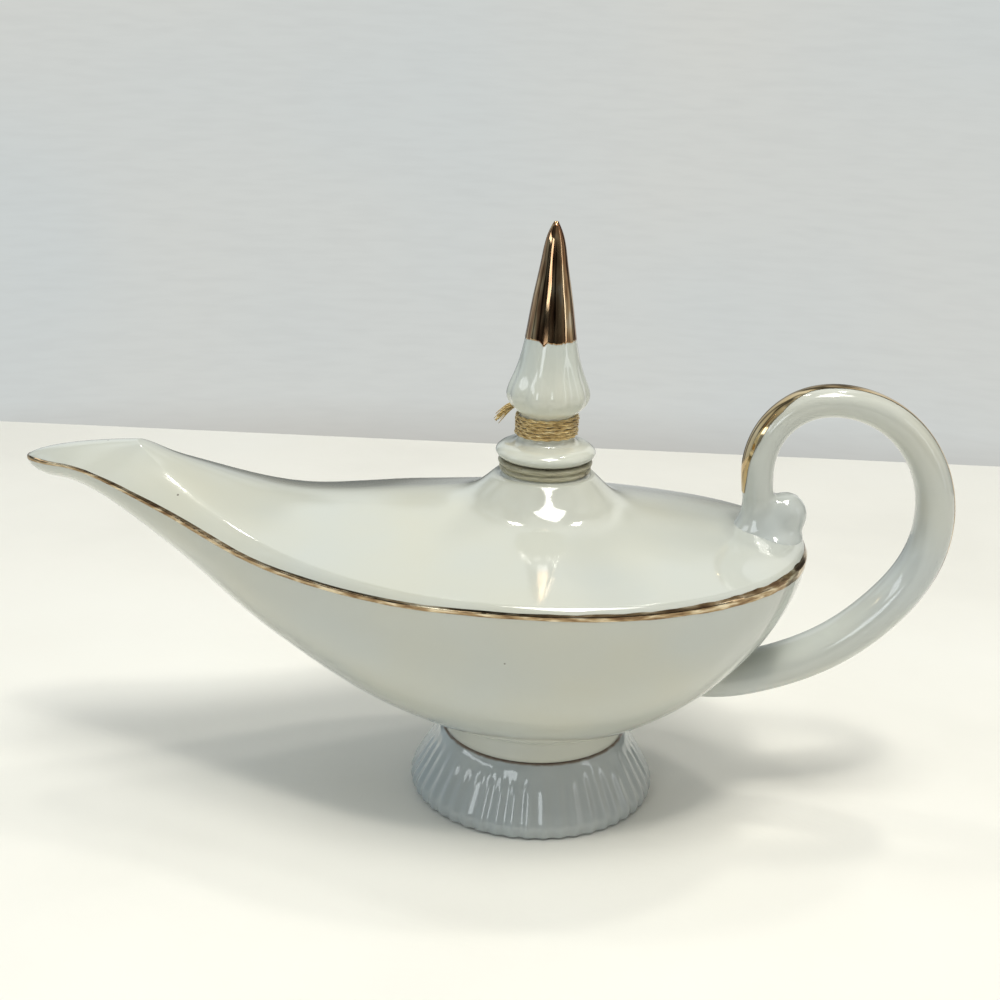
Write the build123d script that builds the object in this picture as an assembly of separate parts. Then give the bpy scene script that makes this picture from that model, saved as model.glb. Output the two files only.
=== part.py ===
from build123d import *
import os
from math import acos, cos, degrees, exp, hypot, pi, radians, sin, sqrt, tan

# Millimetres. The origin is the centre of the foot on the table: +X points to the handle,
# the spout points to -X and +Z is up.

# Clearances
seat_gap = 0.05
running_gap = 0.05
cut_over = 1.0

# Body: plan
spout_reach = 112.4
stern_reach = 57.2
beam = 84.4
wall = 3.0
contour_steps = 24
bow_width_shares = (0, 0.095, 0.218, 0.36, 0.60, 0.898, 1)

# Body: rim line, seen from the side
rim_height = 58.1
spout_rise = 14.2
stern_rise = 1.6
bow_rise_shares = (1, 1.005, 1.005, 0.61, 0.085, -0.01, 0)

# Body: bowl under the rim
bowl_depth = 44.45
stern_power = 1.93
stern_fullness = 0.63
bow_depth_shares = (0, 0.079, 0.134, 0.284, 0.534, 0.843, 1)
bowl_level_shares = (0.81, 0.68, 0.53, 0.38, 0.25, 0.14)
cavity_reach = 96.0
cavity_end_power = 6
foot_ring_radius = 20.3
foot_ring_height = 4.7
floor_radius = 13.0

# Body: deck over the rim
shoulder_rise = 1.5
shoulder_inset = 1.5
bow_shoulder_growth = 3.6
crest_reach = 88.0
crest_end_power = 6
crest_limit = spout_reach / ((spout_reach / crest_reach) ** crest_end_power - 1) ** (1 / crest_end_power)
hump_height = 1.2
hump_spread = 5.0
deck_crown = 1.2
dome_rise = 8.7
deck_shares = (0.86, 0.68, 0.5, 0.34, 0.21, 0.12, 0.05)
ceiling_shares = (0.9, 0.72, 0.5, 0.3, 0.14, 0.05)
shoulder_shares = (0.35, 0.7)

# Body: neck
neck_radius = 9.76
neck_height = 74.6
neck_spread = 5.9
neck_bell_centre = 8.0
bore_radius = 6.9

# Body: gilding along the rim
gilding_drop = 1.7
gilding_climb_share = 0.22
gilding_thickness = 0.2
gilding_gap = 0.15

# Pedestal
pedestal_height = foot_level = 14.45
pedestal_radius = 27.5
flute_count = 48
flute_depth = 0.42
pedestal_rows_shares = (
    # height, radius and depth of flute
    (0, 0.985, 1),
    (0.14, 1, 1),
    (0.50, 0.91, 1),
    (0.80, 0.81, 0.3),
    (1, 0.742, 0),
)
pedestal_hollow_height = 10.5
pedestal_hollow_radius = 22.5
pedestal_hollow_top_radius = 14.0

# Handle: centreline, thickness in its plane and breadth across it
handle_reach = 83.9
handle_height = 92.4
handle_root_inset = 12.3
handle_root_drop = 0.35
handle_root_reach = stern_reach - handle_root_inset
handle_root_height = rim_height - handle_root_drop
handle_thickness = 9.3
handle_breadth = 12.0
handle_rows_shares = (
    # reach and height from the root to the loop's furthest, thickness and breadth
    (0, 0, 1.85, 1.35),
    (0.017, 0.136, 1.10, 0.95),
    (0.032, 0.285, 0.77, 0.71),
    (0.013, 0.528, 0.74, 0.71),
    (0.066, 0.789, 0.74, 0.71),
    (0.232, 0.963, 0.74, 0.72),
    (0.451, 1, 0.74, 0.75),
    (0.742, 0.875, 0.78, 0.78),
    (0.938, 0.600, 0.84, 0.82),
    (1, 0.259, 0.90, 0.86),
    (0.940, -0.051, 0.95, 0.90),
    (0.774, -0.333, 1, 0.95),
    (0.499, -0.605, 1, 1),
    (0.165, -0.781, 1, 1.03),
    (-0.119, -0.853, 1, 1.03),
    (-0.377, -0.840, 1, 1.03),
)
curl_offset = 7.2
curl_rise = 8.8
curl_radius = 4.9
curl_half_breadth = 4.6
saddle_offset = 6.1
saddle_rise = 3.1
saddle_radius = 5.3
saddle_half_breadth = 6.6
handle_gilding_half_width = 1.6
handle_gilding_end_inset = 4.7
handle_gilding_end_rise = 3.6

# Stopper seal
seal_head_radius = 10.1
seal_head_height = 2.5
seal_groove_count = 3
seal_groove_depth = 0.5
seal_groove_width = 0.35
seal_sleeve_radius = 6.0
seal_sleeve_length = 13.0
seal_fin_count = 1
seal_fin_width = 0.9

# Stopper
peg_radius = 5.0
peg_length = 15.0
flange_radius = 10.7
flange_height = 4.9
waist_radius = 6.1
flange_rows_shares = (
    # reach from waist to rim, and height
    (0.54, 0),
    (0.89, 0.16),
    (1, 0.34),
    (0.89, 0.51),
    (0.54, 0.69),
    (0.09, 0.85),
    (0, 1),
)
waist_height = 5.3
skirt_radius = 8.95
finial_height = 40.0
lobe_count = 10
lobe_depth = 0.5
cone_share = 0.4
finial_rows_shares = (
    # height, radius and depth of lobe
    (0, 0.70, 0),
    (0.028, 0.85, 0.5),
    (0.060, 0.95, 1),
    (0.090, 0.99, 1),
    (0.125, 0.97, 0.9),
    (0.200, 0.84, 0.7),
    (0.300, 0.695, 0.2),
    (cone_share, 0.60, 0),
    (0.600, 0.465, 0),
    (0.800, 0.303, 0),
    (0.950, 0.155, 0),
    (1, 0.05, 0),
)

# Twine round the stopper's waist
twine_wire = 0.5
twine_turns = 5
twine_gap = 0.41
twine_sides = 6
twine_start_angle = 100.0
tail_points = ((-4.2, 7.2, 87.0), (-7.6, 6.9, 86.6), (-9.8, 6.5, 84.9), (-11.0, 6.3, 83.2))


def along(shares, angle, mirror=1):
    """A smooth value from evenly spaced shares, the first at 0 and the last at 90 degrees."""
    step = 90 / (len(shares) - 1)
    i = min(int(angle / step), len(shares) - 2)
    t = angle / step - i
    a, b = shares[i], shares[i + 1]
    before = shares[i - 1] if i else mirror * shares[1]
    after = shares[i + 2] if i + 2 < len(shares) else a
    slope_a, slope_b = (b - before) / 2, (after - a) / 2
    bend = 3 * (b - a) - 2 * slope_a - slope_b
    return a + slope_a * t + bend * t**2 + (slope_a + slope_b - 2 * (b - a)) * t**3


def bow_angle(x):
    return degrees(acos(min(-x / spout_reach, 1)))


def rim_half_width(x):
    if x < 0:
        return beam / 2 * along(bow_width_shares, bow_angle(x), mirror=-1)
    return beam / 2 * sqrt(max(1 - (x / stern_reach) ** 2, 0))


def rim_level(x):
    if x < 0:
        return rim_height + spout_rise * along(bow_rise_shares, bow_angle(x))
    return rim_height + stern_rise * (x / stern_reach) ** 2


def section(x, inset):
    """Half width and depth of the bowl's cross-section at x, drawn in by a wall."""
    if x > 0:
        place = min(x / (stern_reach - inset), 1)
        width = (beam / 2 - inset) * sqrt(1 - place**2)
        return width, (bowl_depth - inset) * (1 - place**stern_power) ** stern_fullness
    depth = bowl_depth * along(bow_depth_shares, bow_angle(x), mirror=-1)
    if not inset:
        return rim_half_width(x), depth
    end = sqrt(max(1 - (x / cavity_reach) ** cavity_end_power, 0))
    return (rim_half_width(x) - inset) * end, (depth - inset) * end


def contour_angles():
    return [2 * pi * i / contour_steps for i in range(contour_steps)]


def port(angle):
    """+1 on the far side, -1 on the near side and 0 on the centreline."""
    side = -sin(angle)
    return 0 if abs(side) < 1e-9 else (1 if side > 0 else -1)


def reach_at(level, inset, side):
    """Where the section's depth equals the level, found by halving."""
    near, far = 0.0, stern_reach - inset if side > 0 else (cavity_reach if inset else spout_reach)
    for _ in range(40):
        middle = (near + far) / 2
        if section(side * middle, inset)[1] > level:
            near = middle
        else:
            far = middle
    return near


def bowl_points(level, inset=0.0):
    """The bowl's contour at one depth under the rim line."""
    bow, stern = reach_at(level, inset, -1), reach_at(level, inset, 1)
    points = []
    for angle in contour_angles():
        x = -(bow if cos(angle) > 0 else stern) * cos(angle)
        half_width, depth = section(x, inset)
        share = sqrt(max(1 - (level / depth) ** 2, 0)) if depth > 0 else 1
        points.append((x, port(angle) * half_width * share, rim_level(x) - level))
    return points


def ring_points(radius, level):
    return [(-radius * cos(a), -radius * sin(a), level) for a in contour_angles()]


def growth(x):
    """How much the shoulder swells towards the spout."""
    return bow_shoulder_growth * (min(x, 0) / crest_reach) ** 2


def deck_height(x, y, share):
    """The share is 0 at the neck's mouth and 1 along the crest."""
    across = min(abs(y) / max(rim_half_width(x) - shoulder_inset - growth(x), wall), 1)
    hump = hump_height * exp(-(((x + crest_reach) / hump_spread) ** 2))
    plain = rim_level(x) + shoulder_rise + growth(x) + hump + deck_crown * (1 - across**2)
    plain += dome_rise * (1 - share)
    bell = neck_height - rim_height - shoulder_rise - deck_crown - dome_rise
    peak = exp(-(((neck_radius - neck_bell_centre) / neck_spread) ** 2))
    radius = max(hypot(x, y), neck_radius)
    return plain + bell / peak * exp(-(((radius - neck_bell_centre) / neck_spread) ** 2))


def crest_points():
    """The line along the top of the shoulder, closed in front by the hump on the spout."""
    points = []
    for angle in contour_angles():
        if cos(angle) > 0:
            beside = spout_reach * cos(angle) / crest_limit
            x = -crest_limit * beside / (1 + beside**crest_end_power) ** (1 / crest_end_power)
            half_width = rim_half_width(x) - shoulder_inset - growth(x)
            half_width *= sqrt(max(1 - (x / crest_reach) ** crest_end_power, 0))
        else:
            x = -(stern_reach - shoulder_inset) * cos(angle)
            half_width = (beam / 2 - shoulder_inset) * abs(sin(angle))
        y = port(angle) * half_width
        points.append((x, y, deck_height(x, y, 1)))
    return points


def between(low, high, share):
    """Points a share of the way in plan from one contour to another."""
    return [(a[0] + (b[0] - a[0]) * share, a[1] + (b[1] - a[1]) * share) for a, b in zip(low, high)]


def on_deck(inner, outer, share, drop=0.0):
    """A contour on the deck, a share of the way in plan from one contour to another."""
    return [(x, y, deck_height(x, y, share) - drop) for x, y in between(inner, outer, share)]


def shoulder_points(share):
    """Points a share of the way from the rim to the crest, on a round shoulder."""
    climbed = sin(share * pi / 2)
    rows = zip(between(rim_points, crest, share), rim_points, crest)
    return [(x, y, low[2] + (high[2] - low[2]) * climbed) for (x, y), low, high in rows]


def halves(points):
    """A contour as two smooth curves that meet square to the centreline."""
    middle = len(points) // 2
    looped = [Vector(*p) for p in [*points, points[0]]]
    spread = [i / middle for i in range(middle + 1)]
    leaving = (looped[1] - looped[-2]) * middle / 2
    turning = (looped[middle + 1] - looped[middle - 1]) * middle / 2
    return [
        Edge.make_spline(looped[: middle + 1], tangents=[leaving, turning], parameters=spread, scale=False),
        Edge.make_spline(looped[middle:], tangents=[turning, leaving], parameters=spread, scale=False),
    ]


def skin(contours, ruled=False):
    """Faces through a row of contours, each a list of points."""
    sides = zip(*[halves(points) for points in contours])
    return [face for side in sides for face in Shell.make_loft([Wire([e]) for e in side], ruled=ruled).faces()]


def cap(points, hole=None):
    return [Face(Wire(halves(points)), [Wire(halves(hole))] if hole else None)]


def solid_from(*groups):
    faces = [face for group in groups for face in group]
    solid = Solid(Shell(Face.sew_faces(faces)[0]))
    return solid if solid.volume > 0 else Solid(Shell([-face for face in solid.faces()]))


def pushed_out(points, distance):
    """A contour moved outwards in plan, square to itself."""
    moved = []
    for i, (x, y, z) in enumerate(points):
        before, after = points[i - 1], points[(i + 1) % len(points)]
        run_x, run_y = after[0] - before[0], after[1] - before[1]
        length = hypot(run_x, run_y)
        moved.append((x + run_y / length * distance, y - run_x / length * distance, z))
    return moved


rim_points = bowl_points(0.0)
rim_inside = bowl_points(0.0, wall)
crest = crest_points()
mouth = ring_points(neck_radius, neck_height)
foot_low = ring_points(foot_ring_radius, foot_level)
foot_high = ring_points(foot_ring_radius, foot_level + foot_ring_height)
gilding_low = bowl_points(gilding_drop)
gilding_high = shoulder_points(gilding_climb_share)

bowl_skin = skin([foot_high] + [bowl_points(s * bowl_depth) for s in bowl_level_shares] + [gilding_low])
rim_skin = skin([gilding_low, rim_points], ruled=True)
bead_skin = skin([rim_points, gilding_high], ruled=True)
shoulder_skin = skin([gilding_high] + [shoulder_points(s) for s in shoulder_shares] + [crest])
plateau_skin = skin([crest] + [on_deck(mouth, crest, s) for s in deck_shares] + [mouth])
foot_skin = skin([foot_low, foot_high], ruled=True)
joint_skin = skin([rim_inside, rim_points], ruled=True)


def make_envelope():
    sides = foot_skin + bowl_skin + rim_skin + bead_skin + shoulder_skin + plateau_skin
    return solid_from(cap(foot_low), sides, cap(mouth))


def make_bowl():
    floor_ring = ring_points(floor_radius, foot_level + wall)
    levels = [bowl_points(s * (bowl_depth - wall), wall) for s in bowl_level_shares]
    inside = skin([floor_ring] + levels + [rim_inside])
    outside = foot_skin + bowl_skin + rim_skin
    return solid_from(cap(foot_low), outside, joint_skin, inside, cap(floor_ring))


def make_deck():
    throat = ring_points(bore_radius, neck_height - wall)
    bore_top = ring_points(bore_radius, neck_height)
    ceiling = [on_deck(throat, rim_inside, s, wall) for s in ceiling_shares]
    lip = cap(mouth, bore_top)
    outside = bead_skin + shoulder_skin + plateau_skin
    inside = skin([rim_inside] + ceiling + [throat, bore_top], ruled=True)
    return solid_from(outside, lip, inside, joint_skin)


def make_rim_gilding():
    """A film over the edge of the rim, lying on the bowl's and the deck's own faces."""
    proud = pushed_out(rim_points, gilding_thickness)
    outside = skin([gilding_low, proud], ruled=True) + skin([proud, gilding_high], ruled=True)
    return solid_from(rim_skin, bead_skin, outside)


def fluted_points(radius, level, depth, count):
    points = []
    for i in range(2 * count):
        angle = pi * i / count
        reach = radius - (depth if i % 2 else 0)
        points.append((reach * cos(angle), reach * sin(angle), level))
    return points


def make_pedestal():
    rows = [
        fluted_points(pedestal_radius * r, pedestal_height * h, flute_depth * d, flute_count)
        for h, r, d in pedestal_rows_shares
    ]
    body = solid_from(cap(rows[0]), skin(rows), cap(rows[-1]))
    hollow = Polyline(
        (0, -cut_over),
        (pedestal_hollow_radius, -cut_over),
        (pedestal_hollow_radius, 0),
        (pedestal_hollow_top_radius, pedestal_hollow_height),
        (0, pedestal_hollow_height),
        close=True,
    )
    return body - revolve(Plane.XZ * make_face(hollow), Axis.Z)


def handle_stations():
    """A plane square to the centreline at each row, with Y across and up towards the outside."""
    reach, height = handle_reach - handle_root_reach, handle_height - handle_root_height
    places = [
        (handle_root_reach + reach * x, 0, handle_root_height + height * z) for x, z, _, _ in handle_rows_shares
    ]
    centreline = Edge.make_spline(places)
    for place, (_, _, thick, broad) in zip(places, handle_rows_shares):
        heading = centreline.tangent_at(centreline.param_at_point(place))
        square = Plane(place, x_dir=(0, 1, 0), z_dir=heading)
        yield square, handle_thickness * thick / 2, handle_breadth * broad / 2


def lump(offset, rise, radius, half_breadth):
    """A lump of clay, round in the side view."""
    return Pos(handle_root_reach + offset, 0, rim_height + rise) * scale(Sphere(radius), by=(1, half_breadth / radius, 1))


def make_strap(grown=0.0):
    sections = [
        Wire([Edge.make_ellipse(half_breadth + grown, half_thickness + grown, plane=square)])
        for square, half_thickness, half_breadth in handle_stations()
    ]
    return Solid.make_loft(sections)


def make_handle(envelope):
    """The strap with its curl and saddle, ending on the body's own faces."""
    curl = lump(curl_offset, curl_rise, curl_radius, curl_half_breadth)
    saddle = lump(saddle_offset, saddle_rise, saddle_radius, saddle_half_breadth)
    return (make_strap() + curl + saddle) - envelope


def make_handle_gilding():
    """A film along the outside of the strap, cut back from both of its roots."""
    film = make_strap(gilding_gap + gilding_thickness) - make_strap(gilding_gap)
    stripe = film & Box(4 * handle_reach, 2 * handle_gilding_half_width, 4 * handle_height)
    low_corner = (Align.MIN, Align.CENTER, Align.MIN)
    end_reach = stern_reach - handle_gilding_end_inset
    end_height = rim_height + stern_rise + shoulder_rise + handle_gilding_end_rise
    roots = Box(end_reach, beam, end_height, align=low_corner)
    return (stripe - roots).solids().sort_by(SortBy.VOLUME)[-1]


def revolved(points):
    return revolve(Plane.XZ * make_face(Polyline(*points, close=True)), Axis.Z)


seal_top = neck_height + seat_gap + seal_head_height


def make_seal():
    """A sleeve on the stopper's peg with a ribbed head on the neck's lip and fins in the bore."""
    inner = peg_radius + running_gap
    base = neck_height + seat_gap
    pitch = seal_head_height / seal_groove_count
    outline = [(inner, seal_top)]
    for i in range(seal_groove_count):
        top = seal_top - i * pitch
        groove = top - pitch + seal_groove_width
        outline += [(seal_head_radius, top), (seal_head_radius, groove)]
        if i < seal_groove_count - 1:
            deep = seal_head_radius - seal_groove_depth
            outline += [(deep, groove), (deep, top - pitch)]
    outline += [(seal_head_radius - seal_groove_depth, base), (seal_sleeve_radius, base)]
    fin_pitch = seal_sleeve_length / (seal_fin_count + 1)
    fin_radius = bore_radius - running_gap
    for i in range(1, seal_fin_count + 1):
        middle = base - i * fin_pitch
        outline += [
            (seal_sleeve_radius, middle + seal_fin_width),
            (fin_radius, middle),
            (seal_sleeve_radius, middle - seal_fin_width / 2),
        ]
    bottom = base - seal_sleeve_length
    outline += [(seal_sleeve_radius, bottom), (inner, bottom)]
    return revolved(outline)


flange_base = seal_top + seat_gap
waist_base = flange_base + flange_height
skirt_base = waist_base + waist_height


def make_stopper():
    peg_end = flange_base - peg_length
    flange = [
        (waist_radius + (flange_radius - waist_radius) * r, flange_base + flange_height * h)
        for r, h in flange_rows_shares
    ]
    top = skirt_base + cut_over
    outline = [
        Polyline(
            (waist_radius, waist_base),
            (waist_radius, top),
            (0, top),
            (0, peg_end),
            (peg_radius - cut_over, peg_end),
            (peg_radius, peg_end + cut_over),
            (peg_radius, flange_base),
            flange[0],
        ),
        Spline(*flange),
    ]
    rows = [
        fluted_points(skirt_radius * r, skirt_base + finial_height * h, lobe_depth * d, lobe_count)
        for h, r, d in finial_rows_shares
    ]
    finial = solid_from(cap(rows[0]), skin(rows), cap(rows[-1]))
    return revolve(Plane.XZ * make_face(outline), Axis.Z) + finial


def make_finial_gilding():
    """A film over the finial's cone."""
    inside = [
        (skirt_radius * r + gilding_gap, skirt_base + finial_height * h)
        for h, r, _ in finial_rows_shares
        if h >= cone_share
    ]
    outside = [(reach + gilding_thickness, level) for reach, level in inside]
    under = inside[-1][1] + gilding_gap
    over = under + gilding_thickness
    tip = [(inside[-1][0], under), (0, under), (0, over), (outside[-1][0], over)]
    return revolved(inside + tip + outside[::-1])


def biarc(start, heading, end, arrival):
    """Two tangent arcs that leave and arrive along given directions."""
    run, both = end - start, heading + arrival
    bend = 1 - heading.dot(arrival)
    reach = (sqrt(run.dot(both) ** 2 + 2 * bend * run.dot(run)) - run.dot(both)) / (2 * bend)
    middle = (start + end + (heading - arrival) * reach) / 2
    crossing = (run - both * reach).normalized()
    return [Edge.make_tangent_arc(start, heading, middle), Edge.make_tangent_arc(middle, crossing, end)]


twine_radius = waist_radius + running_gap + twine_wire / 2
twine_pitch = twine_wire + twine_gap


def on_helix(turn):
    """A place and a heading along the winding."""
    angle = radians(twine_start_angle) + 2 * pi * turn
    base = waist_base + running_gap + twine_wire / 2
    place = Vector(twine_radius * cos(angle), twine_radius * sin(angle), base + twine_pitch * turn)
    heading = Vector(-sin(angle), cos(angle), twine_pitch / (2 * pi * twine_radius)).normalized()
    return place, heading


def winding_route():
    first, heading = on_helix(0)
    edges = [Edge.make_line(first - heading * twine_wire, first)]
    for quarter in range(4 * twine_turns):
        edges += biarc(*on_helix(quarter / 4), *on_helix((quarter + 1) / 4))
    last, heading = on_helix(twine_turns)
    return edges + [Edge.make_line(last, last + heading * twine_wire)]


def twine_section(start, heading):
    outwards = Vector(start.X, start.Y, 0)
    return Plane(start, x_dir=outwards.cross(heading), z_dir=heading) * RegularPolygon(
        twine_wire / 2, twine_sides, major_radius=False
    )


def make_winding():
    edges = winding_route()
    marks = [edge @ (i / 4) for edge in edges for i in range(4)]
    apart = len(marks) // (2 * twine_turns)
    least = min((a - b).length for i, a in enumerate(marks) for b in marks[i + apart :])
    print("winding's least gap to itself", round(least - twine_wire, 3))
    return sweep(twine_section(edges[0] @ 0, edges[0] % 0), path=Wire(edges))


def make_tail():
    last, heading = on_helix(twine_turns)
    start = last + heading * twine_wire
    points = [start] + [Vector(*p) for p in tail_points]
    runs = [(b - a).length for a, b in zip(points, points[1:])]
    radii = []
    for i in range(1, len(points) - 1):
        turn = radians((points[i] - points[i - 1]).get_angle(points[i + 1] - points[i]))
        radii.append(0.45 * min(runs[i - 1], runs[i]) / tan(turn / 2))
    print("tail's radii", [round(r, 1) for r in radii])
    path = FilletPolyline(*points, radius=radii)
    return sweep(twine_section(start, path % 0), path=path)


os.makedirs("parts", exist_ok=True)
parts = {
    "bowl": make_bowl(),
    "deck": make_deck(),
    "handle": make_handle(make_envelope()),
    "pedestal": make_pedestal(),
    "rim_gilding": make_rim_gilding(),
    "handle_gilding": make_handle_gilding(),
    "stopper_seal": make_seal(),
    "stopper": make_stopper(),
    "finial_gilding": make_finial_gilding(),
    "twine_winding": make_winding(),
    "twine_tail": make_tail(),
}
for name, shape in parts.items():
    shape.label = name
    print(name, shape.is_valid, round(shape.volume, 1), len(shape.solids()))
    export_step(shape, f"parts/{name}.step")
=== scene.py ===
import bmesh
import bpy
import numpy as np
from math import acos, cos, degrees, exp, hypot, pi, radians, sin, sqrt
from mathutils import Matrix, Vector, noise


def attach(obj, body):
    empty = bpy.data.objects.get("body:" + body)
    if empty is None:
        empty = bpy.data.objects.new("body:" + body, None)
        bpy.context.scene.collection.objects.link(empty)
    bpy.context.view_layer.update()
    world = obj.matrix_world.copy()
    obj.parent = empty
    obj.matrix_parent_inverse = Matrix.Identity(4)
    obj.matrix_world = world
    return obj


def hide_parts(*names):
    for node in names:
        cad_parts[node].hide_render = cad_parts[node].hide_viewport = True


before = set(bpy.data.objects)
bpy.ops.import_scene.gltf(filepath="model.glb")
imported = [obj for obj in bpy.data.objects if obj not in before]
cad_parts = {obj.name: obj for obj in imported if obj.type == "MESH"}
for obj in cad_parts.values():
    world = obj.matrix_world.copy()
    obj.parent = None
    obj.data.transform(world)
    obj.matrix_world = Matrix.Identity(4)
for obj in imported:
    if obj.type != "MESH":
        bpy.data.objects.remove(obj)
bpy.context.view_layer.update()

# Everything is in metres, and most sizes are given as millimetres times mm.
mm = 0.001
weld_distance = 1e-7

# Camera
camera_place = Vector((0, -307.640733 * mm, 170.843026 * mm))
camera_pitch = 0.325111309
camera_yaw = -0.0304758288
camera_roll = 0.0368422664
camera_lens = 54
camera_sensor = 36
camera_clip = 0.01

# Body
spout_reach = 112.4 * mm
stern_reach = 57.2 * mm
beam = 84.4 * mm
wall = 3.0 * mm
bow_width_shares = (0, 0.095, 0.218, 0.36, 0.60, 0.898, 1)
rim_height = 58.1 * mm
spout_rise = 14.2 * mm
stern_rise = 1.6 * mm
bow_rise_shares = (1, 1.005, 1.005, 0.61, 0.085, -0.01, 0)
bowl_depth = 44.45 * mm
stern_power = 1.93
stern_fullness = 0.63
bow_depth_shares = (0, 0.079, 0.134, 0.284, 0.534, 0.843, 1)
bowl_bottom_share = 0.86
cavity_reach = 96.0 * mm
cavity_end_power = 6
foot_level = 14.45 * mm
foot_ring_radius = 20.3 * mm
foot_ring_height = 4.7 * mm
floor_radius = 13.0 * mm
shoulder_rise = 1.5 * mm
shoulder_inset = 1.5 * mm
bow_shoulder_growth = 3.6 * mm
crest_reach = 88.0 * mm
crest_limit = 91.9 * mm
crest_end_power = 6
hump_height = 1.2 * mm
hump_spread = 5.0 * mm
crest_roll = radians(68)
tip_length = 11 * mm
tip_bluntness = 0.45
deck_crown = 1.2 * mm
dome_rise = 8.7 * mm
neck_radius = 9.76 * mm
neck_height = 74.6 * mm
neck_spread = 5.9 * mm
neck_bell_centre = 8.0 * mm
neck_lip = 0.8 * mm
bore_radius = 6.9 * mm
bore_edge = 0.5 * mm
foot_edge_inset = 0.5 * mm
foot_edge_height = 0.4 * mm
halvings = 40

# Body: the rows of points in its skin, mostly as shares of a stretch
contour_steps = 192
foot_ring_shares = (0.3, 0.6, 0.85, 1)
bowl_row_count = 45
last_bowl_row_drop = 0.3 * mm
shoulder_shares = (0.015, 0.05, 0.1, 0.17, 0.26, 0.38, 0.51, 0.64, 0.77, 0.88, 0.95, 0.985)
deck_shares_from_crest = (0.006, 0.02, 0.05, 0.09, 0.14, 0.2, 0.26, 0.32, 0.38, 0.44)
deck_shares_to_mouth = (0.5, 0.012)
deck_rows_to_mouth = 34
lip_angles = (0.5, 1.0, 1.57)
ceiling_shares = (0.05, 0.14, 0.3, 0.5, 0.72, 0.9)
cavity_level_shares = (0.14, 0.3, 0.5, 0.68, 0.81)

# Gilding: a thin film over the glaze
gold_lift = 0.06 * mm
rim_gold_shares_below = (1, 0.8, 0.55, 0.3)
rim_gold_shares_above = (0.25, 0.5, 0.75, 1)
rim_gold_deepest = 2.4 * mm
rim_gold_marks = (0, 0.2, 0.4, 0.7, 1)
# Wavers of a brushed edge: depth, seed and fineness
rim_gold_drop_waver = (0.16, 1.7, 14)
rim_gold_climb_waver = (0.30, 5.2, 14)
finial_gold_waver = (0.008, 2.4, 2.2)
finial_gold_ragged = (0.006, 7.1, 12)
waver_finer_share = 0.5
waver_finer_scale = 3.1
# The brushed line on the rim, from the spout's tip to the stern: reach down the bowl and up the shoulder
rim_gold_places = (-112 * mm, -95 * mm, -70 * mm, 0, 30 * mm, 50 * mm, 57 * mm)
rim_gold_drops = (0.35 * mm, 0.60 * mm, 0.85 * mm, 0.80 * mm, 1.15 * mm, 1.45 * mm, 1.6 * mm)
rim_gold_climbs = (0.30 * mm, 0.45 * mm, 0.50 * mm, 0.40 * mm, 0.60 * mm, 1.00 * mm, 1.3 * mm)

# Pedestal
pedestal_height = 14.45 * mm
pedestal_radius = 27.5 * mm
flute_count = 48
flute_depth = 0.42 * mm
points_per_flute = 8
pedestal_row_count = 40
pedestal_run_weights = (14.45, 27.5, 0.01)
pedestal_rows_shares = (
    # height, radius and depth of flute, as shares of the pedestal's own
    (0, 0.985, 1),
    (0.14, 1, 1),
    (0.32, 0.965, 1),
    (0.50, 0.91, 1),
    (0.66, 0.86, 0.8),
    (0.80, 0.81, 0.3),
    (0.92, 0.775, 0.05),
    (1, 0.742, 0),
)
sole_outer_radius = 26.73 * mm
sole_inner_radius = 25.575 * mm
pedestal_top_radius = 12.18 * mm
pedestal_hollow_edge = 0.6 * mm
pedestal_hollow_shares = (1, 0.5, 0)
pedestal_hollow_height = 10.5 * mm
pedestal_hollow_radius = 22.5 * mm
pedestal_hollow_top_radius = 14.0 * mm

# Handle
handle_reach = 83.9 * mm
handle_height = 92.4 * mm
handle_thickness = 9.3 * mm
handle_breadth = 12.0 * mm
across_strap = Vector((0, 1, 0))
handle_station_count = 150
handle_run_weights = (1, 1, 0.0001, 0.0001)
handle_points_round = 48
handle_rows_shares = (
    # reach, height, thickness and breadth, as shares of the handle's own
    (0.535, 0.625, 1.85, 1.35),
    (0.543, 0.676, 1.10, 0.95),
    (0.550, 0.732, 0.77, 0.71),
    (0.541, 0.823, 0.74, 0.71),
    (0.566, 0.921, 0.74, 0.71),
    (0.643, 0.986, 0.74, 0.72),
    (0.745, 1.000, 0.74, 0.75),
    (0.880, 0.953, 0.78, 0.78),
    (0.971, 0.850, 0.84, 0.82),
    (1.000, 0.722, 0.90, 0.86),
    (0.972, 0.606, 0.95, 0.90),
    (0.895, 0.500, 1.00, 0.95),
    (0.767, 0.398, 1.00, 1.00),
    (0.612, 0.332, 1.00, 1.03),
    (0.480, 0.305, 1.00, 1.03),
    (0.360, 0.310, 1.00, 1.03),
)
# Lumps of clay at the strap's upper root: reach, height, half length, half breadth and half height
handle_lumps = (
    (52.1 * mm, 66.9 * mm, 4.9 * mm, 4.9 * mm, 4.9 * mm),
    (51.0 * mm, 61.2 * mm, 5.3 * mm, 6.6 * mm, 5.3 * mm),
    (49.2 * mm, 63.9 * mm, 5.2 * mm, 5.8 * mm, 4.6 * mm),
    (50.0 * mm, 61.3 * mm, 6.8 * mm, 8.4 * mm, 3.9 * mm),
)
lump_rings = 32
handle_melt_size = 0.4 * mm
smoothing_factor = 0.5
handle_smoothing = 20
root_smoothing = 34
root_reach = 58 * mm
root_height = 71 * mm
handle_gold_places = (0, 0.03, 0.09, 0.14, 0.19, 0.35, 0.50, 1)
handle_gold_near = (1.8 * mm, 2.9 * mm, 3.7 * mm, 3.3 * mm, 1.8 * mm, 1.2 * mm, 1.6 * mm, 1.4 * mm)
handle_gold_far = 1.7 * mm
handle_gold_waver = 0.2 * mm
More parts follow.
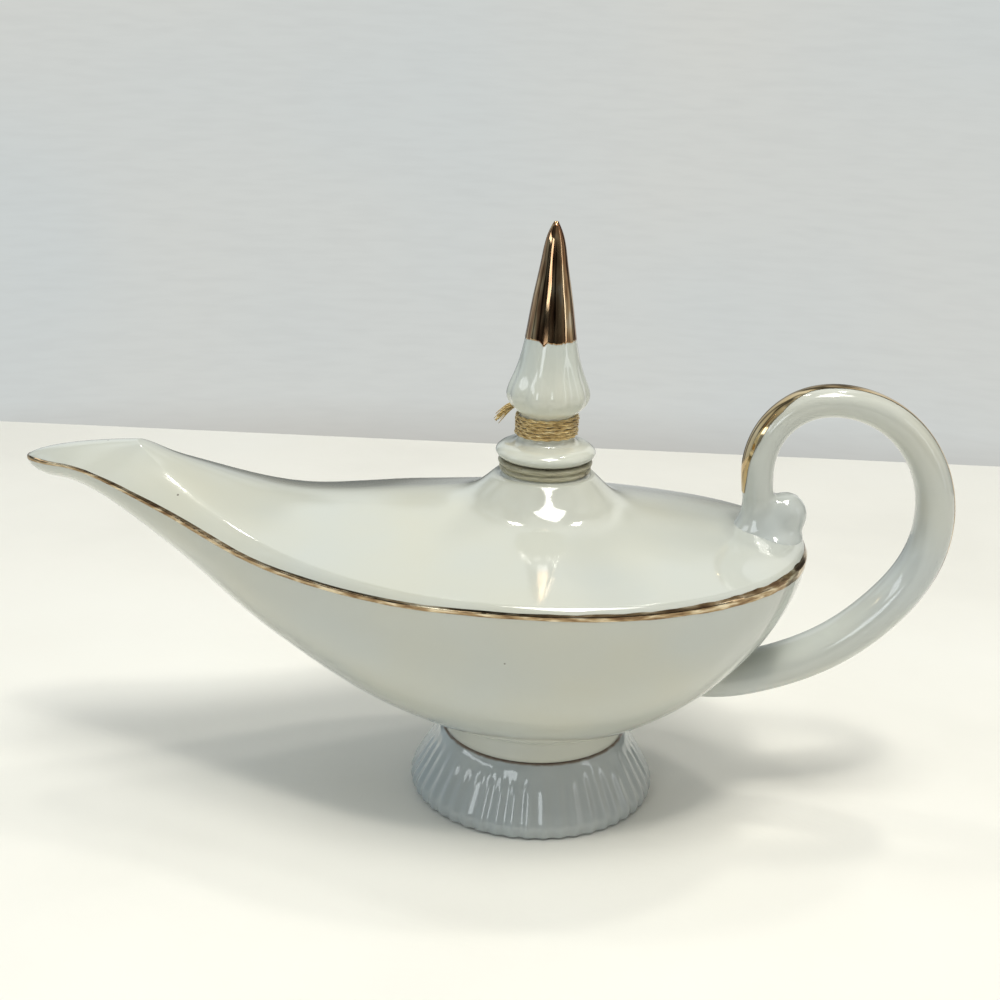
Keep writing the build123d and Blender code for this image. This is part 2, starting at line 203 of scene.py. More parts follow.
# Noise along a line: pace, then two seeds
handle_gold_near_noise = (0.2, 0, 3.3)
handle_gold_far_noise = (0.2, 5, 3.3)
handle_gold_least_rise = 0.02
handle_gold_bare_stations = 14
handle_gold_strips = 12

# Stopper and its seal
seat_gap = 0.05 * mm
seal_head_height = 2.5 * mm
seal_steps = 96
seal_outline = (
    # radius and height over the neck in millimetres: soft lip, groove and ring, then a sleeve with one fin
    (5.2, 2.5), (8.9, 2.5), (9.6, 2.45), (10.0, 2.3), (10.12, 2.0), (10.05, 1.7), (9.8, 1.5),
    (9.35, 1.38), (9.25, 1.2), (9.5, 1.08), (9.75, 0.9), (9.85, 0.55), (9.75, 0.2), (9.5, 0),
    (6.0, 0), (6.0, -4.0), (6.85, -4.4), (6.0, -5.2), (6.0, -13.0), (5.2, -13.0), (5.2, 2.5),
)
peg_radius = 5.0 * mm
peg_length = 15.0 * mm
peg_edge = 1.0 * mm
peg_root_edge = 0.5 * mm
flange_radius = 10.7 * mm
flange_height = 4.9 * mm
flange_rows_shares = (
    # reach from waist to rim, and height, as shares
    (0.54, 0),
    (0.89, 0.16),
    (1, 0.34),
    (0.89, 0.51),
    (0.54, 0.69),
    (0.09, 0.85),
    (0, 1),
)
flange_row_count = 26
waist_radius = 6.1 * mm
waist_height = 5.3 * mm
waist_shares = (0.2, 0.5, 0.9)
stopper_steps = 120
skirt_radius = 8.95 * mm
finial_height = 40.0 * mm
lobe_count = 10
lobe_depth = 0.5 * mm
lobe_sharpness = 1.5
flange_base = neck_height + seat_gap + seal_head_height + seat_gap
waist_base = flange_base + flange_height
skirt_base = waist_base + waist_height
finial_row_count = 70
finial_run_weights = (40, 8.95, 0.01)
finial_rows_shares = (
    # height, radius and depth of lobe, as shares of the finial's own
    (0, 0.70, 0),
    (0.028, 0.85, 0.5),
    (0.060, 0.95, 1),
    (0.090, 0.99, 1),
    (0.125, 0.97, 0.9),
    (0.200, 0.84, 0.7),
    (0.300, 0.695, 0.2),
    (0.400, 0.60, 0),
    (0.600, 0.465, 0),
    (0.800, 0.303, 0),
    (0.950, 0.155, 0),
    (1, 0.05, 0),
)
finial_gold_share = 0.398
finial_gold_steps = 240
finial_gold_rows = 40
finial_gold_crowding = 1.4
finial_curve_steps = 400
# Drips under the gilded edge: direction, spread and length
gold_drips = ((4.45, 0.10, 0.018), (4.95, 0.25, 0.010), (1.20, 0.12, 0.020))

# Twine
twine_diameter = 0.85 * mm
twine_turns = 6
twine_points_per_turn = 16
twine_start_angle = radians(100)
twine_radius = waist_radius + twine_diameter / 2
twine_climb = 0.745 * mm
twine_base = waist_base + 0.1 * mm + twine_diameter / 2
twine_stray = 0.16 * mm
twine_stray_noise = (0.37, 2.2, 0)
twine_slack = 0.22 * mm
twine_slack_noise = (0.29, 7.7, 0)
twine_line_steps = 10
# Where the loose tail goes, in millimetres
twine_tail = ((-4.2, 7.2, 87.0), (-7.4, 6.9, 86.9), (-9.4, 6.6, 85.3), (-11.2, 6.3, 83.2))
ply_pitch = 4.6 * mm
ply_offset = 0.19 * mm
ply_thickness = 0.23 * mm
ply_sides = 8
ply_swell = 0.12
ply_swell_pace = 1.3
tail_fray_length = 5.2 * mm
tail_fray = 1.15 * mm
tail_fibres = 26
fibre_sides = 5
fibre_turn = 2.4
fibre_twist = 0.7
fibre_opening = 0.6
fibre_taper = 0.5
fibre_thickness = 0.13 * mm

# Table: a square that ends at the wall
table_half = 1.2
table_edge = 0.27
table_drop = 0.2 * mm

# Lamps: name, place, what it faces, width, height, power and colour
lamps = (
    ("ceiling", (0.12, -0.22, 1.10), (0, -0.10, 0), 0.44, 0.36, 5.5, (1, 0.98, 0.91)),
    ("bulb_front", (0.10, -0.28, 0.80), (0, 0, 0), 0.08, 0.08, 1.0, (1, 0.97, 0.88)),
    ("bulb_left", (-0.15, 0.20, 0.78), (0, 0, 0.05), 0.06, 0.06, 0.4, (1, 0.97, 0.88)),
    ("bulb_right", (0.20, 0.20, 0.76), (0, 0, 0.05), 0.06, 0.06, 0.7, (1, 0.97, 0.87)),
    ("window_left", (-0.285, -0.64, 0.30), (0, 0, 0.10), 0.20, 0.22, 0.50, (0.90, 0.96, 1)),
    ("window_far", (-0.63, -0.24, 0.37), (-0.05, 0, 0.06), 0.56, 0.10, 0.52, (0.92, 0.96, 1)),
    ("window_right", (0.68, -0.22, 0.27), (0, 0, 0.08), 0.08, 0.48, 0.26, (0.92, 0.96, 1)),
)


# ---- helpers: numbers ----

def along(shares, angle, mirror=1):
    """A smooth value from evenly spaced shares, the first at 0 and the last at 90 degrees."""
    step = 90 / (len(shares) - 1)
    i = min(int(angle / step), len(shares) - 2)
    t = angle / step - i
    a, b = shares[i], shares[i + 1]
    before = shares[i - 1] if i else mirror * shares[1]
    after = shares[i + 2] if i + 2 < len(shares) else a
    slope_a, slope_b = (b - before) / 2, (after - a) / 2
    bend = 3 * (b - a) - 2 * slope_a - slope_b
    return a + slope_a * t + bend * t**2 + (slope_a + slope_b - 2 * (b - a)) * t**3


def smooth_rows(rows, steps, scales=None):
    """Rows of numbers at even steps along a smooth curve through the given rows.

    The scales say how much each number counts in the length of a step.
    """
    values = np.array(rows, float)
    scaled = values * np.array(scales) if scales else values
    run = np.concatenate([[0], np.cumsum(np.linalg.norm(np.diff(scaled, axis=0), axis=1))])
    count = len(values)
    gaps = np.diff(run)
    matrix = np.zeros((count, count))
    pull = np.zeros_like(values)
    matrix[0, 0] = matrix[-1, -1] = 1
    for i in range(1, count - 1):
        matrix[i, i - 1 : i + 2] = gaps[i - 1], 2 * (gaps[i - 1] + gaps[i]), gaps[i]
        pull[i] = 6 * ((values[i + 1] - values[i]) / gaps[i] - (values[i] - values[i - 1]) / gaps[i - 1])
    bends = np.linalg.solve(matrix, pull)
    smooth = []
    for place in np.linspace(0, run[-1], steps):
        i = min(int(np.searchsorted(run, place, side="right")) - 1, count - 2)
        h, a, b = gaps[i], run[i + 1] - place, place - run[i]
        smooth.append(
            (bends[i] * a**3 + bends[i + 1] * b**3) / (6 * h)
            + (values[i] / h - bends[i] * h / 6) * a
            + (values[i + 1] / h - bends[i + 1] * h / 6) * b
        )
    return smooth


# ---- helpers: meshes ----

def raise_film(bm, amount):
    """Lay a film just over the glaze that it is painted on."""
    bm.normal_update()
    for vert, normal in [(v, v.normal.copy()) for v in bm.verts]:
        vert.co += normal * amount


def tube(name, rows, closed=True, capped=True, lift=0.0):
    """A smooth skin through rows of points, all with as many points, laid over them by lift."""
    bm = bmesh.new()
    columns = len(rows[0])
    across = columns if closed else columns - 1
    bmesh.ops.create_grid(bm, x_segments=across, y_segments=len(rows) - 1, size=1)
    bm.verts.ensure_lookup_table()
    for i, vert in enumerate(bm.verts):
        row, column = divmod(i, across + 1)
        vert.co = rows[row][column % columns]
    bmesh.ops.remove_doubles(bm, verts=bm.verts, dist=weld_distance)
    if closed and capped:
        bmesh.ops.holes_fill(bm, edges=[e for e in bm.edges if e.is_boundary], sides=0)
    bmesh.ops.recalc_face_normals(bm, faces=bm.faces)
    if lift:
        raise_film(bm, lift)
    return piece_from(name, bm)


def piece_from(name, bm, smooth=True):
    """An object made from a bmesh, which is then let go."""
    for face in bm.faces:
        face.smooth = smooth
    mesh = bpy.data.meshes.new(name)
    bm.to_mesh(mesh)
    bm.free()
    piece = bpy.data.objects.new(name, mesh)
    bpy.context.scene.collection.objects.link(piece)
    return piece


def circle(radius, level, steps, waves=0, depth=0.0, sharpness=1.0):
    """A circle of points, drawn in by depth between its waves."""
    points = []
    for i in range(steps):
        angle = 2 * pi * i / steps
        reach = radius - depth * (0.5 - 0.5 * cos(waves * angle)) ** sharpness
        points.append((reach * cos(angle), reach * sin(angle), level))
    return points


# ---- body ----

def ring(radius, level):
    """A circle with the points of the body's contours, which start at the bow."""
    return [(-x, -y, z) for x, y, z in circle(radius, level, contour_steps)]


def bow_angle(x):
    """Degrees along the bow: 0 at the spout's tip and 90 amidships."""
    return degrees(acos(min(-x / spout_reach, 1)))


def rim_half_width(x):
    """Half the body's breadth along the rim."""
    if x < 0:
        return beam / 2 * along(bow_width_shares, bow_angle(x), mirror=-1)
    return beam / 2 * sqrt(max(1 - (x / stern_reach) ** 2, 0))


def rim_level(x):
    """The rim line's height, which sweeps up to the spout."""
    if x < 0:
        return rim_height + spout_rise * along(bow_rise_shares, bow_angle(x))
    return rim_height + stern_rise * (x / stern_reach) ** 2


def section(x, inset):
    """Half width and depth of the bowl's cross-section at x, drawn in by a wall."""
    if x > 0:
        place = min(x / (stern_reach - inset), 1)
        width = (beam / 2 - inset) * sqrt(1 - place**2)
        return width, (bowl_depth - inset) * (1 - place**stern_power) ** stern_fullness
    depth = bowl_depth * along(bow_depth_shares, bow_angle(x), mirror=-1)
    if not inset:
        return rim_half_width(x), depth
    end = sqrt(max(1 - (x / cavity_reach) ** cavity_end_power, 0))
    return (rim_half_width(x) - inset) * end, (depth - inset) * end


def contour_angles():
    return [2 * pi * i / contour_steps for i in range(contour_steps)]


def port(angle):
    """+1 on the far side, -1 on the near side and 0 on the centreline."""
    side = -sin(angle)
    return 0 if abs(side) < 1e-9 else (1 if side > 0 else -1)


def reach_at(level, inset, side):
    """Where the section's depth equals the level, found by halving."""
    near, far = 0.0, stern_reach - inset if side > 0 else (cavity_reach if inset else spout_reach)
    for _ in range(halvings):
        middle = (near + far) / 2
        if section(side * middle, inset)[1] > level:
            near = middle
        else:
            far = middle
    return near


def bowl_points(level, inset=0.0):
    """The bowl's contour at one depth under the rim line."""
    bow, stern = reach_at(level, inset, -1), reach_at(level, inset, 1)
    points = []
    for angle in contour_angles():
        x = -(bow if cos(angle) > 0 else stern) * cos(angle)
        half_width, depth = section(x, inset)
        share = sqrt(max(1 - (level / depth) ** 2, 0)) if depth > 0 else 1
        points.append((x, port(angle) * half_width * share, rim_level(x) - level))
    return points


def growth(x):
    """How much the shoulder swells towards the spout."""
    return bow_shoulder_growth * (min(x, 0) / crest_reach) ** 2


def deck_height(x, y, share):
    """The deck with its dome, hump and neck. The share is 0 at the neck's mouth and 1 along the crest."""
    across = min(abs(y) / max(rim_half_width(x) - shoulder_inset - growth(x), wall), 1)
    hump = hump_height * exp(-(((x + crest_reach) / hump_spread) ** 2))
    plain = rim_level(x) + shoulder_rise + growth(x) + hump + deck_crown * (1 - across**2)
    plain += dome_rise * (1 - share)
    bell = neck_height - rim_height - shoulder_rise - deck_crown - dome_rise
    peak = exp(-(((neck_radius - neck_bell_centre) / neck_spread) ** 2))
    radius = max(hypot(x, y), neck_radius)
    return plain + bell / peak * exp(-(((radius - neck_bell_centre) / neck_spread) ** 2))


def crest_points():
    """The line along the top of the shoulder, closed in front by the hump on the spout."""
    points = []
    for angle in contour_angles():
        if cos(angle) > 0:
            beside = spout_reach * cos(angle) / crest_limit
            x = -crest_limit * beside / (1 + beside**crest_end_power) ** (1 / crest_end_power)
            half_width = rim_half_width(x) - shoulder_inset - growth(x)
            half_width *= sqrt(max(1 - (x / crest_reach) ** crest_end_power, 0))
        else:
            x = -(stern_reach - shoulder_inset) * cos(angle)
            half_width = (beam / 2 - shoulder_inset) * abs(sin(angle))
        y = port(angle) * half_width
        points.append((x, y, deck_height(x, y, 1)))
    return points


def between(low, high, share):
    """Points a share of the way in plan from one contour to another."""
    return [(a[0] + (b[0] - a[0]) * share, a[1] + (b[1] - a[1]) * share) for a, b in zip(low, high)]


def on_deck(inner, outer, share, drop=0.0):
    """A contour on the deck, a share of the way in plan from one contour to another."""
    return [(x, y, deck_height(x, y, share) - drop) for x, y in between(inner, outer, share)]


def shoulder_climb(x, share):
    """How far the rounded edge has climbed from rim to crest, which is blunter at the spout's tip."""
    tip = exp(-(((x + spout_reach) / tip_length) ** 2))
    return (sin(share * crest_roll) / sin(crest_roll)) ** (1 - tip_bluntness * tip)


def shoulder_points(share):
    """Points a share of the way from the rim to the crest, on the rounded edge."""
    points = []
    for (x, y), low, high in zip(between(rim_points, crest, share), rim_points, crest):
        points.append((x, y, low[2] + (high[2] - low[2]) * shoulder_climb(low[0], share)))
    return points


rim_points = bowl_points(0.0)
crest = crest_points()
mouth = ring(neck_radius, neck_height - neck_lip)


def make_body():
    """The glazed body in one skin: foot ring, bowl, shoulder, deck, neck, bore and the hollow inside."""
    rows = [ring(foot_ring_radius - foot_edge_inset, foot_level)]
    rows += [ring(foot_ring_radius, foot_level + foot_edge_height)]
    rows += [ring(foot_ring_radius, foot_level + foot_ring_height * s) for s in foot_ring_shares]
    rows += [bowl_points(bowl_depth * s) for s in np.linspace(bowl_bottom_share, 0, bowl_row_count)[:-1]]
    rows += [bowl_points(last_bowl_row_drop), rim_points]
    rows += [shoulder_points(s) for s in shoulder_shares]
    rows += [crest]
    rows += [on_deck(mouth, crest, 1 - s) for s in deck_shares_from_crest]
    rows += [on_deck(mouth, crest, s) for s in np.linspace(*deck_shares_to_mouth, deck_rows_to_mouth)]
    rows += [mouth]
    for angle in lip_angles:
        radius = neck_radius - neck_lip * (1 - cos(angle))
        rows.append(ring(radius, neck_height - neck_lip * (1 - sin(angle))))
    rows += [ring(bore_radius + bore_edge, neck_height), ring(bore_radius, neck_height - bore_edge)]
    throat = ring(bore_radius, neck_height - wall)
    inside = bowl_points(0.0, wall)
    rows += [throat]
    rows += [on_deck(throat, inside, s, wall) for s in ceiling_shares]
    rows += [inside]
    rows += [bowl_points((bowl_depth - wall) * s, wall) for s in cavity_level_shares]
    rows += [ring(floor_radius, foot_level + wall)]
    return tube("glazed_body", rows)


def wander(angle, depth, seed, fineness):
    """A slow irregular change round a closed line, as a brushed edge has."""
    place = Vector((cos(angle) * fineness, sin(angle) * fineness, seed))
    return depth * (noise.noise(place) + waver_finer_share * noise.noise(place * waver_finer_scale))


def stray(run, pace, *seed):
    """A slow irregular change along a line."""
    return noise.noise(Vector((run * pace, *seed)))


def make_rim_gold():
    """A brushed line of gilding on the rim, a hair wide at the spout and broad at the stern."""
    marks = [rim_gold_deepest * s for s in rim_gold_marks]
    levels = [bowl_points(mark) for mark in marks]
    below = [[] for _ in rim_gold_shares_below]
    above = [[] for _ in rim_gold_shares_above]
    for i, angle in enumerate(contour_angles()):
        rim, top = Vector(rim_points[i]), Vector(crest[i])
        drop = float(np.interp(rim.x, rim_gold_places, rim_gold_drops))
        drop *= 1 + wander(angle, *rim_gold_drop_waver)
        climb = float(np.interp(rim.x, rim_gold_places, rim_gold_climbs))
        climb *= 1 + wander(angle, *rim_gold_climb_waver)
        down = list(zip(*(level[i] for level in levels)))
        for row, share in zip(below, rim_gold_shares_below):
            row.append([float(np.interp(drop * share, marks, part)) for part in down])
        for row, share in zip(above, rim_gold_shares_above):
            run = min(climb * share / (top - rim).length, 1)
            place = rim.lerp(top, run)
            place.z = rim.z + (top.z - rim.z) * shoulder_climb(rim.x, run)
            row.append(place)
    return tube("rim_gold", below + [rim_points] + above, capped=False, lift=gold_lift)


# ---- handle ----

def handle_stations():
    """Centre, outward direction, half thickness and half breadth along the strap."""
    rows = [
        (handle_reach * x, handle_height * z, handle_thickness * t / 2, handle_breadth * b / 2)
        for x, z, t, b in handle_rows_shares
    ]
    smooth = smooth_rows(rows, handle_station_count, handle_run_weights)
    stations = []
    for i, (x, z, thick, broad) in enumerate(smooth):
        a, b = smooth[max(i - 1, 0)], smooth[min(i + 1, handle_station_count - 1)]
        heading = Vector((b[0] - a[0], 0, b[1] - a[1])).normalized()
        stations.append((Vector((x, 0, z)), heading.cross(across_strap), thick, broad))
    return stations


def make_handle():
    """The strap with its curl and saddle, melted together as one lump of clay."""
    rows = []
    angles = [2 * pi * i / handle_points_round for i in range(handle_points_round)]
    for centre, outwards, thick, broad in handle_stations():
        rows.append([centre + across_strap * broad * cos(a) + outwards * thick * sin(a) for a in angles])
    strap = tube("glazed_handle", rows)
    bm = bmesh.new()
    bm.from_mesh(strap.data)
    for reach, height, *halves in handle_lumps:
        place = Matrix.Translation((reach, 0, height)) @ Matrix.Diagonal((*halves, 1))
        segments = {"u_segments": handle_points_round, "v_segments": lump_rings}
        bmesh.ops.create_uvsphere(bm, radius=1, matrix=place, **segments)
    bm.to_mesh(strap.data)
    bm.free()
    melt = strap.modifiers.new("melt", "REMESH")
    melt.mode = "VOXEL"
    melt.voxel_size = handle_melt_size
    graph = bpy.context.evaluated_depsgraph_get()
    melted = bpy.data.meshes.new_from_object(strap.evaluated_get(graph))
    strap.modifiers.clear()
    bm = bmesh.new()
    bm.from_mesh(melted)
    over_bowl = foot_level + bowl_depth
    root = [v for v in bm.verts if v.co.x < root_reach and over_bowl < v.co.z < root_height]
    every_way = {"use_axis_x": True, "use_axis_y": True, "use_axis_z": True}
    for count, verts in ((handle_smoothing, bm.verts), (root_smoothing, root)):
        for _ in range(count):
            bmesh.ops.smooth_vert(bm, verts=verts, factor=smoothing_factor, **every_way)
    for face in bm.faces:
        face.smooth = True
    bm.to_mesh(strap.data)
    bm.free()
    return strap


def make_handle_gold():
    """A painted stripe down the strap's outside, broad where the hand began it."""
    rows = []
    gilded = handle_stations()[handle_gold_bare_stations:-handle_gold_bare_stations]
    for k, (centre, outwards, thick, broad) in enumerate(gilded):
        near = float(np.interp(k / (len(gilded) - 1), handle_gold_places, handle_gold_near))
        near += handle_gold_waver * stray(k, *handle_gold_near_noise)
        far = handle_gold_far + handle_gold_waver * stray(k, *handle_gold_far_noise)
        row = []
        for i in range(handle_gold_strips + 1):
            across = -near + (near + far) * i / handle_gold_strips
            rise = thick * sqrt(max(1 - (across / broad) ** 2, handle_gold_least_rise))
            row.append(centre + across_strap * across + outwards * rise)
        rows.append(row)
    return tube("handle_gold", rows, closed=False, lift=gold_lift)


# ---- pedestal ----

def make_pedestal():
    """The fluted foot, from the top of its hollow down, over the sole and up its outside."""
    steps = flute_count * points_per_flute
    fluted = (steps, flute_count)
    rows = []
    for share in pedestal_hollow_shares:
        radius = pedestal_hollow_radius - (pedestal_hollow_radius - pedestal_hollow_top_radius) * share
        level = pedestal_hollow_edge + (pedestal_hollow_height - pedestal_hollow_edge) * share
        rows.append(circle(radius, level, steps))
    rows += [circle(sole_inner_radius, 0, steps), circle(sole_outer_radius, 0, *fluted, flute_depth)]
    outline = smooth_rows(pedestal_rows_shares, pedestal_row_count, pedestal_run_weights)
    for height, radius, depth in outline[1:]:
        level = pedestal_height * height
        rows.append(circle(pedestal_radius * radius, level, *fluted, flute_depth * max(depth, 0)))
    rows += [circle(pedestal_top_radius, pedestal_height, steps)]
    return tube("glazed_pedestal", rows)


# ---- stopper ----

def make_stopper():
    """Peg, flange, waist and the lobed skirt that runs up into the cone."""
    outline = [
        (peg_radius - peg_edge, flange_base - peg_length),
        (peg_radius, flange_base - peg_length + peg_edge),
        (peg_radius, flange_base - seat_gap),
        (peg_radius + peg_root_edge, flange_base),
    ]
    flange = [
        (waist_radius + (flange_radius - waist_radius) * reach, flange_base + flange_height * height)
        for reach, height in flange_rows_shares
    ]
    outline += [tuple(point) for point in smooth_rows(flange, flange_row_count)]
    outline += [(waist_radius, waist_base + waist_height * s) for s in waist_shares]
    rows = [circle(radius, level, stopper_steps) for radius, level in outline]
    lobed = (stopper_steps, lobe_count)
    for height, radius, depth in smooth_rows(finial_rows_shares, finial_row_count, finial_run_weights):
        level = skirt_base + finial_height * height
        drawn_in = lobe_depth * max(depth, 0)
        rows.append(circle(skirt_radius * radius, level, *lobed, drawn_in, lobe_sharpness))
    return tube("glazed_stopper", rows)


def make_finial_gold():
    """Gilding brushed down over the finial's cone, with a ragged lower edge and a drip or two."""
    finial = smooth_rows([row[:2] for row in finial_rows_shares], finial_curve_steps, finial_run_weights[:2])
    heights = [row[0] for row in finial]
    widths = [row[1] for row in finial]
    rows = [[] for _ in range(finial_gold_rows)]
    for i in range(finial_gold_steps):
        angle = 2 * pi * i / finial_gold_steps
        low = finial_gold_share + wander(angle, *finial_gold_waver) + wander(angle, *finial_gold_ragged)
        low -= sum(depth * exp(-(((angle - spot) / spread) ** 2)) for spot, spread, depth in gold_drips)
        for k, row in enumerate(rows):
            height = low + (1 - low) * (k / (finial_gold_rows - 1)) ** finial_gold_crowding
            reach = skirt_radius * float(np.interp(height, heights, widths))
            row.append((reach * cos(angle), reach * sin(angle), skirt_base + finial_height * height))
    return tube("finial_gold", rows, lift=gold_lift)


def make_seal():
    """A push-in plastic seal, whose outline closes on itself."""
    base = neck_height + seat_gap
    rows = [circle(radius * mm, base + height * mm, seal_steps) for radius, height in seal_outline]
    return tube("seal", rows, capped=False)


# ---- twine ----

def twine_route():
    """The middle of the twine: six turns up the waist, each a little astray, then the loose tail."""
    points = []
    last = twine_turns * twine_points_per_turn
    for i in range(last + 1):
        turn = i / twine_points_per_turn
        angle = twine_start_angle + 2 * pi * turn
        level = twine_base + twine_climb * turn
        if 0 < i < last:
            level += twine_stray * stray(i, *twine_stray_noise)
        reach = twine_radius + twine_slack * max(stray(i, *twine_slack_noise), 0)
        points.append(Vector((reach * cos(angle), reach * sin(angle), level)))
    return points + [Vector(p) * mm for p in twine_tail]


def line_through(route):
    """Close points along the smooth line that the twine follows."""
    curve = bpy.data.curves.new("twine_line", "CURVE")
    curve.dimensions = "3D"
    curve.resolution_u = twine_line_steps
    spline = curve.splines.new("NURBS")
    spline.points.add(len(route) - 1)
    for point, place in zip(spline.points, route):
        point.co = (*place, 1)
    spline.order_u = 3
    spline.use_endpoint_u = True
    holder = bpy.data.objects.new("twine_line", curve)
    mesh = bpy.data.meshes.new_from_object(holder)
    line = [v.co.copy() for v in mesh.vertices]
    bpy.data.objects.remove(holder)
    bpy.data.curves.remove(curve)
    bpy.data.meshes.remove(mesh)
    return line


def frames_along(line):
    """Place, sideways and upwards at each point of a line, turning as little as possible."""
    frames = []
    side = Vector((0, 0, 1)).cross(line[1] - line[0]).normalized()
    for i, place in enumerate(line):
        heading = (line[min(i + 1, len(line) - 1)] - line[max(i - 1, 0)]).normalized()
        side = (side - heading * side.dot(heading)).normalized()
        frames.append((place, side, heading.cross(side)))
    return frames


def fibre_rows(frames, thickness, sides, offset):
    """Circles of points round a fibre that runs beside a line by offset(i) sideways and upwards."""
    rows = []
    for i, (place, side, up) in enumerate(frames):
        across, above, swell = offset(i)
        centre = place + side * across + up * above
        angles = [2 * pi * k / sides for k in range(sides)]
        rows.append([centre + (side * cos(a) + up * sin(a)) * thickness * swell for a in angles])
    return rows


def make_twine(line):
    """Two plies laid round each other, opened into loose fibres at the cut end of the tail."""
    frames = frames_along(line)
    run = [0.0]
    for a, b in zip(line, line[1:]):
        run.append(run[-1] + (b - a).length)
    plies = []
    for ply in range(2):

        def lay(i, start=pi * ply):
            angle = start + 2 * pi * run[i] / ply_pitch
            swell = 1 + ply_swell * stray(run[i] / mm, ply_swell_pace, start, 0)
            return ply_offset * cos(angle), ply_offset * sin(angle), swell

        plies.append(tube(f"ply_{ply}", fibre_rows(frames, ply_thickness, ply_sides, lay)))
    tail_start = max(i for i, far in enumerate(run) if far < run[-1] - tail_fray_length)
    for fibre in range(tail_fibres):
        spread = tail_fray * sqrt((fibre + 0.5) / tail_fibres)
        turn = fibre * fibre_turn

        def splay(i, spread=spread, turn=turn):
            share = (run[tail_start + i] - run[tail_start]) / tail_fray_length
            bend = turn + fibre_twist * share
            opened = spread * (fibre_opening + (1 - fibre_opening) * share)
            return opened * cos(bend), opened * sin(bend), 1 - fibre_taper * share**3

        # The fibres end at uneven lengths
        part = frames[tail_start : len(frames) - fibre * 5 % 9]
        plies.append(tube(f"fibre_{fibre}", fibre_rows(part, fibre_thickness, fibre_sides, splay)))
    bm = bmesh.new()
    for ply in plies:
        bm.from_mesh(ply.data)
        bpy.data.objects.remove(ply)
    return piece_from("twine", bm)


# ---- materials ----

def new_material(name):
    """A material, its nodes, its shader and where a point lies on the object."""
    material = bpy.data.materials.new(name)
    material.use_nodes = True
    tree = material.node_tree
    return material, tree, tree.nodes["Principled BSDF"], (tree.nodes.new("ShaderNodeTexCoord"), "Object")


def node(tree, kind, **settings):
    """A node with its sockets, or its own properties, set by name."""
    made = tree.nodes.new(kind)
    for key, value in settings.items():
        if key in made.inputs:
            made.inputs[key].default_value = value
        else:
            setattr(made, key, value)
    return made


def join(tree, source, target):
    """Link one node's output to another's input, each given as (node, socket)."""
    tree.links.new(source[0].outputs[source[1]], target[0].inputs[target[1]])


def ranged(tree, source, low, high, to_low=0.0, to_high=1.0):
    """A value moved from one range to another."""
    limits = {"From Min": low, "From Max": high, "To Min": to_low, "To Max": to_high}
    made = node(tree, "ShaderNodeMapRange", **limits)
    join(tree, source, (made, "Value"))
    return made, "Result"


def worked(tree, operation, *terms):
    """A value worked out from others. Each is (node, socket) or a plain number."""
    made = node(tree, "ShaderNodeMath", operation=operation)
    for i, term in enumerate(terms):
        if isinstance(term, tuple):
            join(tree, term, (made, i))
        else:
            made.inputs[i].default_value = term
    return made, "Value"


def cloudy(tree, place, scale, detail, **settings):
    """Noise over a place."""
    made = node(tree, "ShaderNodeTexNoise", Scale=scale, Detail=detail, **settings)
    join(tree, place, (made, "Vector"))
    return made, "Fac"


def stretched(tree, place, scales):
    """A place drawn out along the axes whose scale is small."""
    made = node(tree, "ShaderNodeMapping")
    made.inputs["Scale"].default_value = scales
    join(tree, place, (made, "Vector"))
    return made, "Vector"


def relief(tree, height, strength, distance, **settings):
    """Fine bumps from a value."""
    made = node(tree, "ShaderNodeBump", Strength=strength, Distance=distance, **settings)
    join(tree, height, (made, "Height"))
    return made, "Normal"


def graded(tree, source, low, high, stops):
    """A colour ramp over a value, from stops of (place, colour)."""
    ramp = tree.nodes.new("ShaderNodeValToRGB")
    elements = ramp.color_ramp.elements
    for element, (place, colour) in zip(elements, (stops[0], stops[-1])):
        element.position = place
        element.color = (*colour, 1)
    for place, colour in stops[1:-1]:
        elements.new(place).color = (*colour, 1)
    join(tree, ranged(tree, source, low, high), (ramp, "Fac"))
    return ramp, "Color"


def blend(tree, share, low, high):
    """Mix two colours by a share. Each is (node, socket) or a plain colour."""
    mix = node(tree, "ShaderNodeMix", data_type="RGBA")
    inputs = {socket.identifier: socket for socket in mix.inputs}
    tree.links.new(share[0].outputs[share[1]], inputs["Factor_Float"])
    for side, key in ((low, "A_Color"), (high, "B_Color")):
        if isinstance(side[0], float):
            inputs[key].default_value = (*side, 1)
        else:
            tree.links.new(side[0].outputs[side[1]], inputs[key])
    made = [socket for socket in mix.outputs if socket.identifier == "Result_Color"][0]
    return mix, mix.outputs[:].index(made)


